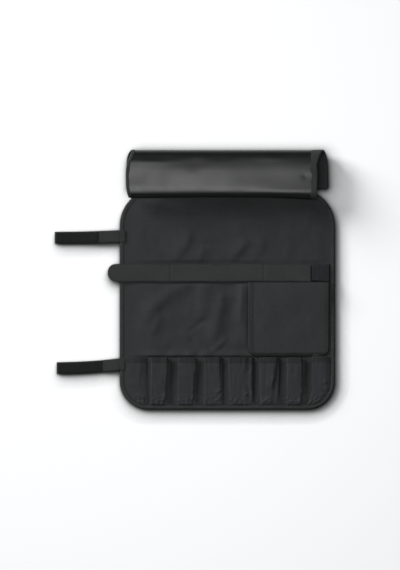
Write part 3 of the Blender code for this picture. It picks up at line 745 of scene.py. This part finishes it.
low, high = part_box("holding_strap")
tip = TONGUE_RADIUS * (1 - np.cos(np.linspace(0, math.pi / 2, 18)))
straight = np.linspace(TONGUE_RADIUS, high.x - low.x, 232)[1:]
from_tip, across = np.meshgrid(np.concatenate([tip, straight]), np.linspace(-1, 1, 21))
middle = (low.y + high.y) / 2
half = (high.y - low.y) / 2 - corner_inset(from_tip, TONGUE_RADIUS)
x = low.x + from_tip
y = middle + across * half + 0.35 * MM * ripples(x, 0 * x, 120 * MM, 8)
z = high.z + 0.2 * MM * ripples(x, y, 80 * MM, 6) - 0.25 * MM * np.abs(across) ** 8
seams, seam_level = [], high.z - 0.2 * MM
for place in STRAP_SEAMS:
    z -= 0.4 * MM * hump(x - place, 1.6 * MM)
    seams.append([(place, end, seam_level) for end in (low.y + 1.5 * MM, high.y - 1.5 * MM)])
for seam_y in (middle - STRAP_EDGE_SEAM, middle + STRAP_EDGE_SEAM):
    seams.append([(end, seam_y, high.z) for end in (low.x + 24 * MM, high.x - 2 * MM)])
strap = cloth("strap_band", np.stack([x, y, z], 2), 1.0 * MM, STRAP_FLAT, strap_web)
sewn_on(strap, "holding_strap", "strap", "holding_strap")
stitches("strap_stitching", "holding_strap", seams)

strap_hook, flat = laid_strip(
    "strap_hook_pile", "strap_hook_tape", (140, 20), hook_pile,
    edge_drop=0.1 * MM, uneven_by=0.04 * MM, seed=9,
)
sewn_on(strap_hook, "holding_strap", "hook", "strap_hook_tape")

anchor_web = woven_tape(
    "anchor_web", mottling=(60, 900), threads=(360, 900),
    yarns=((0.0066, 0.0069, 0.0080), (0.0108, 0.0112, 0.0128)),
    rough=(0.6, 0.72), bump=(0.2 * MM, 0.6), gloss=0.25,
)
RIB_PITCH, RIB_HEIGHT = 5.4 * MM, 0.06 * MM
ANCHOR_SLANT, ANCHOR_SEAM = 2.5 * MM, 3.4 * MM
low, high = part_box("strap_anchor")
across, along = np.meshgrid(np.linspace(0, 1, 80), np.linspace(0, 1, 36))
x, y = low.x + across * (high.x - low.x), low.y + along * (high.y - low.y)
y = y - ANCHOR_SLANT * ease(across) * (1 - along)
to_edge = np.minimum.reduce([x - low.x, high.x - x, np.minimum(along, 1 - along) * (high.y - low.y)])
z = low.z + 1.0 * MM + (high.z - low.z - 1.3 * MM) * ease(to_edge / (3.2 * MM))
z += RIB_HEIGHT * np.sin((x - low.x) / RIB_PITCH * math.tau) * ease((to_edge - 2 * MM) / (2 * MM))
anchor = cloth("strap_anchor_patch", np.stack([x, y, z], 2), 0.9 * MM, ANCHOR_FLAT, anchor_web)
sewn_on(anchor, "panel", "webbing", "strap_anchor")
left, right, top = low.x + ANCHOR_SEAM, high.x - ANCHOR_SEAM, high.z - 0.25 * MM
bottom, upper = low.y + ANCHOR_SEAM, high.y - ANCHOR_SEAM
corners = [(left, bottom, top), (right, bottom - 2 * MM, top), (right, upper, top), (left, upper, top)]
stitches("strap_anchor_stitching", "panel", [[corners[k - 1], corners[k]] for k in range(4)])

# Accessory pocket: a flat bag sewn to the lining below the strap, and a bound flap that hides it.
# The flap hangs from a strip along its upper edge and lies over the pocket, slightly full.
POCKET_FLAT, ROOT_FLAT, POCKET_FLAP_FLAT = (0.165, 0.132), (0.1776, 0.0155), (0.1768, 0.153)
POCKET_RADIUS, POCKET_OVERHANG, POCKET_SHORT = 17 * MM, 3.2 * MM, 2.4 * MM
low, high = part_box("accessory_pocket")
across, along = np.meshgrid(np.linspace(-1, 1, 90), np.linspace(0, 1, 76))
x = (low.x + high.x) / 2 + across * (high.x - low.x) / 2
y = low.y + along * (high.y - low.y)
full = ease((1 - np.abs(across)) / 0.16) * ease(along / 0.18)
z = low.z + 0.55 * MM + (high.z - low.z - (3.6 + 2.4 * across) * MM) * full
z += 0.15 * MM * full * ripples(x, y, 30 * MM, 14)
pocket = cloth("pocket_bag", np.stack([x, y, z], 2), 0.5 * MM, POCKET_FLAT, lining_cloth)
sewn_on(pocket, "panel", "lining", "accessory_pocket")

root_low, root_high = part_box("pocket_flap_root")
root_section = rounded([
    (root_low.y - 9 * MM, root_low.z + 0.6 * MM), (root_low.y - 1.5 * MM, root_low.z + 0.7 * MM),
    (root_low.y + 0.7 * MM, root_low.z + 1.2 * MM), (root_low.y + 0.4 * MM, root_high.z - 0.1 * MM),
], 14)
x, y = np.meshgrid(np.linspace(root_low.x + 0.5 * MM, root_high.x - 0.5 * MM, 60), root_section[:, 0])
points = np.stack([x, y, root_section[:, 1:] + 0 * x], 2)
root_strip = cloth("pocket_flap_strip", points, 0.5 * MM, ROOT_FLAT, lining_cloth)
sewn_on(root_strip, "panel", "lining", "pocket_flap_root")


def pocket_lie(x, y):
    """How far the pocket flap lies off its plane: its right side lies low, and its lower edge turns down."""
    across = np.clip((x - pocket_low.x) / (pocket_high.x - pocket_low.x), 0, 1)
    right = 5.2 * MM * across * ease((pocket_high.y - y) / (90 * MM))
    return -right - 1.8 * MM * ease((pocket_low.y + 5 * MM - y) / (9 * MM))


low = pocket_low - Vector((0, POCKET_OVERHANG, 0))
x, y = rounded_cut(low, pocket_high - Vector((POCKET_SHORT, 0, 0)), POCKET_RADIUS, 0.0, columns=108, rows=96)
across = (2 * x - low.x - root_high.x) / (root_high.x - low.x)
along = (y - low.y) / (pocket_high.y - low.y)
full = (1 - across**4) * (1 - (1 - along) ** 4) * (1 - 0.7 * along**5)
z = pocket_high.z + pocket_lie(x, y) + 0.6 * MM * full + 0.22 * MM * full * ripples(x, y, 60 * MM, 17)
z += fold(x, y, ((196, -56), (248, -88)), -0.5, 4, 6) * full
z += fold(x, y, ((120, -84), (156, -110)), 0.7, 12, 10) * full
z += 0.07 * MM * full * ripples(x, y, 22 * MM, 18)
# The pocket flap's cloth is the lining cloth made 17% lighter: painted light that lifts the flap above the
# lining around it
pocket_cloth = woven_cloth("pocket_cloth", tone=1.17)
pocket_flap = cloth("pocket_flap_cloth", np.stack([x, y, z], 2), 0.9 * MM, POCKET_FLAP_FLAT, pocket_cloth)
sewn_on(pocket_flap, "pocket_flap", "lining", "pocket_flap")

low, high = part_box("pocket_flap_binding")
POCKET_TAPE_SECTION = np.array([
    (7.5, 0.3), (4, 0.25), (1, 0.3), (0.2, 0.6), (0, 1.3),
    (0.2, 2), (1, 2.4), (4, 2.44), (7.5, 2.4),
]) * MM + np.array([0, low.z])
bottom, right = low.y - POCKET_OVERHANG, high.x - POCKET_SHORT
pocket_edge = [
    (low.x, high.y, 0), (low.x, bottom, POCKET_RADIUS), (right, bottom, POCKET_RADIUS), (right, high.y, 0),
]
edge, outward = edge_line(pocket_edge, step=3.0 * MM, closed=False)
# The band darkens the fold at the tape's middle, its outer edge: painted shade that hides the light this edge
# catches
flap_binding = woven_tape(
    "flap_binding", mottling=(50, 700), threads=(900, 1800),
    yarns=((0.0092, 0.0103, 0.0095), (0.0146, 0.0163, 0.0151)),
    rough=(0.55, 0.7), bump=(0.1 * MM, 0.7), gloss=0.3,
    band=(steps_of(POCKET_TAPE_SECTION).sum() / 2, 2.4 * MM, 1.4 * MM, (0.0042, 0.0047, 0.0043)),
)
broad = 1 + 0.45 * np.abs(outward[:, 0])
pocket_tape, flat = bound_edge(
    "pocket_flap_tape", flap_binding, edge, outward, POCKET_TAPE_SECTION,
    rows=15, pucker=0.2 * MM, seed=23, lie=pocket_lie, broad=broad,
)
sewn_on(pocket_tape, "pocket_flap", "binding", "pocket_flap_binding")
seam = edge - outward * (5.8 * MM * broad)[:, None]
seam = np.column_stack([seam, low.z + 2.45 * MM + pocket_lie(seam[:, 0], seam[:, 1])])
stitches("pocket_flap_stitching", "pocket_flap", [seam])

# Closing straps: two webbing straps on the left edge, each tacked over the binding.
# When the case is rolled up, hook tape on their ends grips loop strips sewn to the back of the cover.
webbing = woven_tape(
    "closer_webbing", mottling=(40, 800), threads=(1300, 620),
    yarns=((0.0098, 0.0104, 0.0108), (0.0158, 0.0166, 0.0172)),
    rough=(0.55, 0.68), bump=(0.14 * MM, 0.7), gloss=0.3,
)
WEB_LEVEL, HOOK_WIDTH = 1.2 * MM, 22 * MM
TACK_SEAMS = (3.0 * MM, 8.5 * MM)
# For each strap: how far it ends short of its CAD tip, where its hook tape ends, and how soon it comes down
CLOSERS = (("upper_closer", 0.0, 94.0 * MM, 110 * MM), ("lower_closer", 4.2 * MM, 102.0 * MM, 44 * MM))
for closer, short, hook_end, comes_down in CLOSERS:
    low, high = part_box(f"{closer}_strap")
    tack_low, tack_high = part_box(f"{closer}_tack")
    hook_low, hook_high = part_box(f"{closer}_hook_tape")
    root_y, width = (tack_low.y + tack_high.y) / 2, tack_high.y - tack_low.y
    full_length = high.x - low.x

    def strap_lie(from_root):
        """Middle line and level of the strap's face at a distance from its root."""
        share = from_root / full_length
        middle = root_y + (low.y - tack_low.y) * (1 - (1 - share) ** 2)
        return middle, high.z - (high.z - WEB_LEVEL) * ease(from_root / comes_down)

    length = full_length - short
    from_root, across = np.meshgrid(np.linspace(length, 0, 96), np.linspace(-0.5, 0.5, 16))
    middle, z = strap_lie(from_root)
    x, y = high.x - from_root, middle + across * width
    z = z - 0.25 * MM * np.abs(2 * across) ** 8
    strap = cloth(f"{closer}_web", np.stack([x, y, z], 2), 1.1 * MM, (length, width), webbing)
    sewn_on(strap, closer, "webbing", f"{closer}_strap")

    hook_start = short + (hook_low.x - low.x)
    hook_length = hook_end - hook_start
    from_tip, across = np.meshgrid(np.linspace(hook_start, hook_end, 70), np.linspace(-0.5, 0.5, 18))
    middle, z = strap_lie(full_length - from_tip)
    to_end = np.minimum(from_tip - hook_start, hook_end - from_tip)
    to_edge = np.minimum(to_end, (0.5 - np.abs(across)) * HOOK_WIDTH)
    z = z + hook_high.z - WEB_LEVEL - 0.5 * MM * (1 - ease(to_edge / (1.3 * MM)))
    points = np.stack([low.x + from_tip, middle + across * HOOK_WIDTH, z], 2)
    hook = cloth(f"{closer}_hook_pile", points, 0.7 * MM, (hook_length, HOOK_WIDTH), hook_pile)
    sewn_on(hook, closer, "hook", f"{closer}_hook_tape")

    tack, flat = laid_strip(f"{closer}_tack_patch", f"{closer}_tack", (14, 20), webbing, edge_drop=0.3 * MM)
    sewn_on(tack, "panel", "webbing", f"{closer}_tack")
    row_ends = (tack_low.y + 1.5 * MM, tack_high.y - 1.5 * MM)
    rows = [[(tack_low.x + at, end, tack_high.z) for end in row_ends] for at in TACK_SEAMS]
    stitches(f"{closer}_tack_stitching", "panel", rows, pitch=2.4 * MM, length=2.0 * MM)

    loop, flat = laid_strip(
        f"{closer}_loop_pile", f"{closer}_loop_strip", (80, 16), loop_pile, edge_drop=0.1 * MM)
    sewn_on(loop, "panel", "loop", f"{closer}_loop_strip")

# Cover flap: two plies sewn to the panel's top edge, bound on three sides, shiny side out.
# It lies folded back over itself: the base on the table, a round fold, and a crown turned down to the panel.
base_low, base_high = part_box("flap_base_cover")
FLAP_FACE = base_low.z
FOLD_RADIUS, FOLD_Y = 17.7 * MM, base_high.y - 0.2 * MM
BASE_ROWS, FOLD_ROWS, CROWN_ROWS, FLAP_COLUMNS = 25, 41, 72, 232
# How far the face has tipped towards the front, in degrees, over lengths in mm of crown, nose and hem
CROWN_TIPS = (
    (0, -11), (4.5, -8), (18, -4), (32, -1.5), (50, -0.3), (62, 0.2), (69, 2.8), (74, 7), (79, 14),
    (84, 31), (92, 90), (106, 90),
)
# Where the left and right edges are, at lengths along the flap, in mm
FLAP_SIDES = np.array([
    (0, -147.5, 287.8), (65, -147.2, 286.6), (80, -141, 282), (95, -133.5, 276), (110, -137, 271),
    (122, -141, 266.5), (134, -145, 262.5), (150, -148.2, 264.2), (186, -147.5, 263.5), (205, -142.5, 262),
    (223, -136.5, 262.2), (233, -134.5, 262.3),
]) * MM
# How far the free edge hangs back or forward, across the flap, in mm
FREE_EDGE = np.array([(-150, -2.8), (-90, -2.2), (20, 0.2), (150, -0.6), (215, -3.0), (265, -6.4)]) * MM
# Width of the binding on each side, in mm, and how far its seam lies inside that
SIDE_TAPES, SIDE_SEAM = (("left", 6.5), ("right", 12.5)), 1.9
EDGE_TAPE_FLAT = (0.391, 0.0149)

# Y, Z and outward direction along the flap's face from its root, and the stretch each belongs to
run = [(y, FLAP_FACE, 0.0, -1.0, 0) for y in np.linspace(base_low.y, FOLD_Y, BASE_ROWS)]
for turn in np.radians(np.linspace(-90, 90 + CROWN_TIPS[0][1], FOLD_ROWS)[1:]):
    out_y, out_z = math.cos(turn), math.sin(turn)
    run.append((FOLD_Y + FOLD_RADIUS * out_y, FLAP_FACE + FOLD_RADIUS * (1 + out_z), out_y, out_z, 0))
lengths, tips = np.array(CROWN_TIPS).T
y, z = run[-1][:2]
step = lengths[-1] / CROWN_ROWS
for length in (np.arange(CROWN_ROWS) + 1) * step:
    middle, tip = np.radians(np.interp([length - step / 2, length], lengths, tips))
    y, z = y - math.cos(middle) * step * MM, z - math.sin(middle) * step * MM
    run.append((y, z, -math.sin(tip), math.cos(tip), 1))
run = np.array(run)
flap_along = np.concatenate([[0], np.cumsum(steps_of(run[:, :2]))])
sides = rounded(FLAP_SIDES, 200)
flap_left = np.interp(flap_along, sides[:, 0], sides[:, 1])
flap_right = np.interp(flap_along, sides[:, 0], sides[:, 2])


def flap_points(rows, shares, level):
    """Points at shares of the width from right to left, at a level above the flap's face."""
    x = flap_right[rows, None] + np.atleast_2d(shares) * (flap_left - flap_right)[rows, None]
    along = flap_along[rows, None] + 0 * x
    y, z, out_y, out_z = (run[rows, part][:, None] + 0 * x for part in range(4))
    dents = 0.35 * ripples(x, along, 180 * MM, 41) + 0.06 * ripples(x, along, 50 * MM, 42)
    # All in mm: a pit near the right end, a low bump amid the crown, and a fuller fold at the left
    across, deep, far = x / MM, y / MM, along / MM
    dents -= 0.3 * hump(across - 238, 8) * hump(deep - 223, 7)
    dents += 0.25 * hump(across + 8, 15) * hump(deep - 227, 10)
    dents += 0.8 * hump(far - 117, 14) * (1 - ease((across + 75) / 80))
    # The crown is hollow at both ends and, further back, in the middle, and its lip is full at the right
    ends = ease((across - 30) / 80) + 1.6 * ease((-92 - across) / 30)
    dents -= 0.5 * ends * hump(deep - 221, 17.6)
    amid = ease((across + 75) / 40) * (1 - ease((across - 75) / 55))
    dents -= 0.2 * amid * hump(deep - 250, 10)
    dents += 0.9 * ease((across - 90) / 110) * hump(far - 194.5, 8.5)
    on_crown = ease((far - 118) / 14) * (1 - 0.6 * ease((far - 205) / 25))
    level = level + dents * MM * on_crown
    nose = ease((far - 180) / 45)
    y = y + np.interp(x, FREE_EDGE[:, 0], FREE_EDGE[:, 1]) * nose
    return np.stack([x, y + out_y * level, z + out_z * level], 2)


def side_tape(name, rows, side, width):
    """Binding along one side of the flap, over a run of rows, and its flat size."""
    section = rounded([
        (5.5, -2.3), (2.5, -2.35), (0.6, -2.3), (-0.4, -1.9), (-0.7, -0.9),
        (-0.4, 0.2), (0.6, 0.55), (2.5, 0.6), (width * 0.7, 0.6), (width, 0.42),
    ], 17) * MM
    along, spread = flap_along[rows], (flap_right - flap_left)[rows, None]
    wave = 1.1 * MM * ripples(along, 0 * along, 24 * MM, 60)[:, None]
    if side == "right":
        broader = np.clip(flap_right[rows] - 263 * MM, 0, 9 * MM) * ease(along / (10 * MM) - 9)
        wave = 1.7 * wave + broader[:, None]
    inset = section[None, :, 0] + wave * np.clip((section[None, :, 0] - 3 * MM) / (8 * MM), 0, 1)
    shares = inset / spread if side == "right" else 1 - inset / spread
    points = flap_points(rows, shares, section[None, :, 1]).transpose(1, 0, 2)
    if side == "right":
        points = points[::-1]
    size = (along[-1] - along[0], steps_of(section).sum())
    return cloth(name, points, 0.45 * MM, size, binding_tape), size


columns = np.linspace(0, 1, FLAP_COLUMNS)
back = np.flatnonzero(run[:, 4] == 0)
front = np.concatenate([back[-1:], np.flatnonzero(run[:, 4] == 1)])
STRETCHES = (("back", back, "flap_base", 0.432, "table"), ("front", front, "flap_top", 0.408, "panel_lining"))
for stretch, rows, body, width, under in STRETCHES:
    size = (width, flap_along[rows[-1]] - flap_along[rows[0]])
    cover = cloth(f"flap_{stretch}_cover", flap_points(rows, columns, 0.0), 0.8 * MM, size, coated_cloth)
    points = flap_points(rows, columns, -1.0 * MM)
    lining = cloth(f"flap_{stretch}_lining", points, 0.6 * MM, size, lining_cloth)
    made = [(cover, "cover", f"{body}_cover"), (lining, "lining", f"{body}_lining")]
    for side, tape_width in SIDE_TAPES:
        tape, size = side_tape(f"flap_{stretch}_tape_{side}", rows, side, tape_width)
        made.append((tape, "binding", f"{body}_binding_{side}"))
    for ply, slot, node_name in made:
        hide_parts(node_name)
        if stretch == "back":
            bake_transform(ply)
        else:
            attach(ply, "flap_top")

shares = np.linspace(0.012, 0.988, 160)
hem_rows = front[[-5, -3, -1]]
outer = flap_points(hem_rows, shares, 0.55 * MM)
inner = flap_points(hem_rows[::-1], shares, -2.3 * MM)
turned = outer[-1:] * 0.5 + inner[:1] * 0.5 + np.array([0, 0, -0.5 * MM])
points = np.concatenate([outer, turned, inner])
edge_tape = cloth("flap_front_tape_edge", points, 0.4 * MM, EDGE_TAPE_FLAT, binding_tape)
sewn_on(edge_tape, "flap_top", "binding", "flap_top_binding_front")

sewn_rows, seams = front[2:-1], []
for side, tape_width in SIDE_TAPES:
    share = (tape_width - SIDE_SEAM) * MM / (flap_right - flap_left)[sewn_rows, None]
    seams.append(flap_points(sewn_rows, share if side == "right" else 1 - share, 0.75 * MM)[:, 0])
stitches("flap_front_stitching", "flap_top", seams)
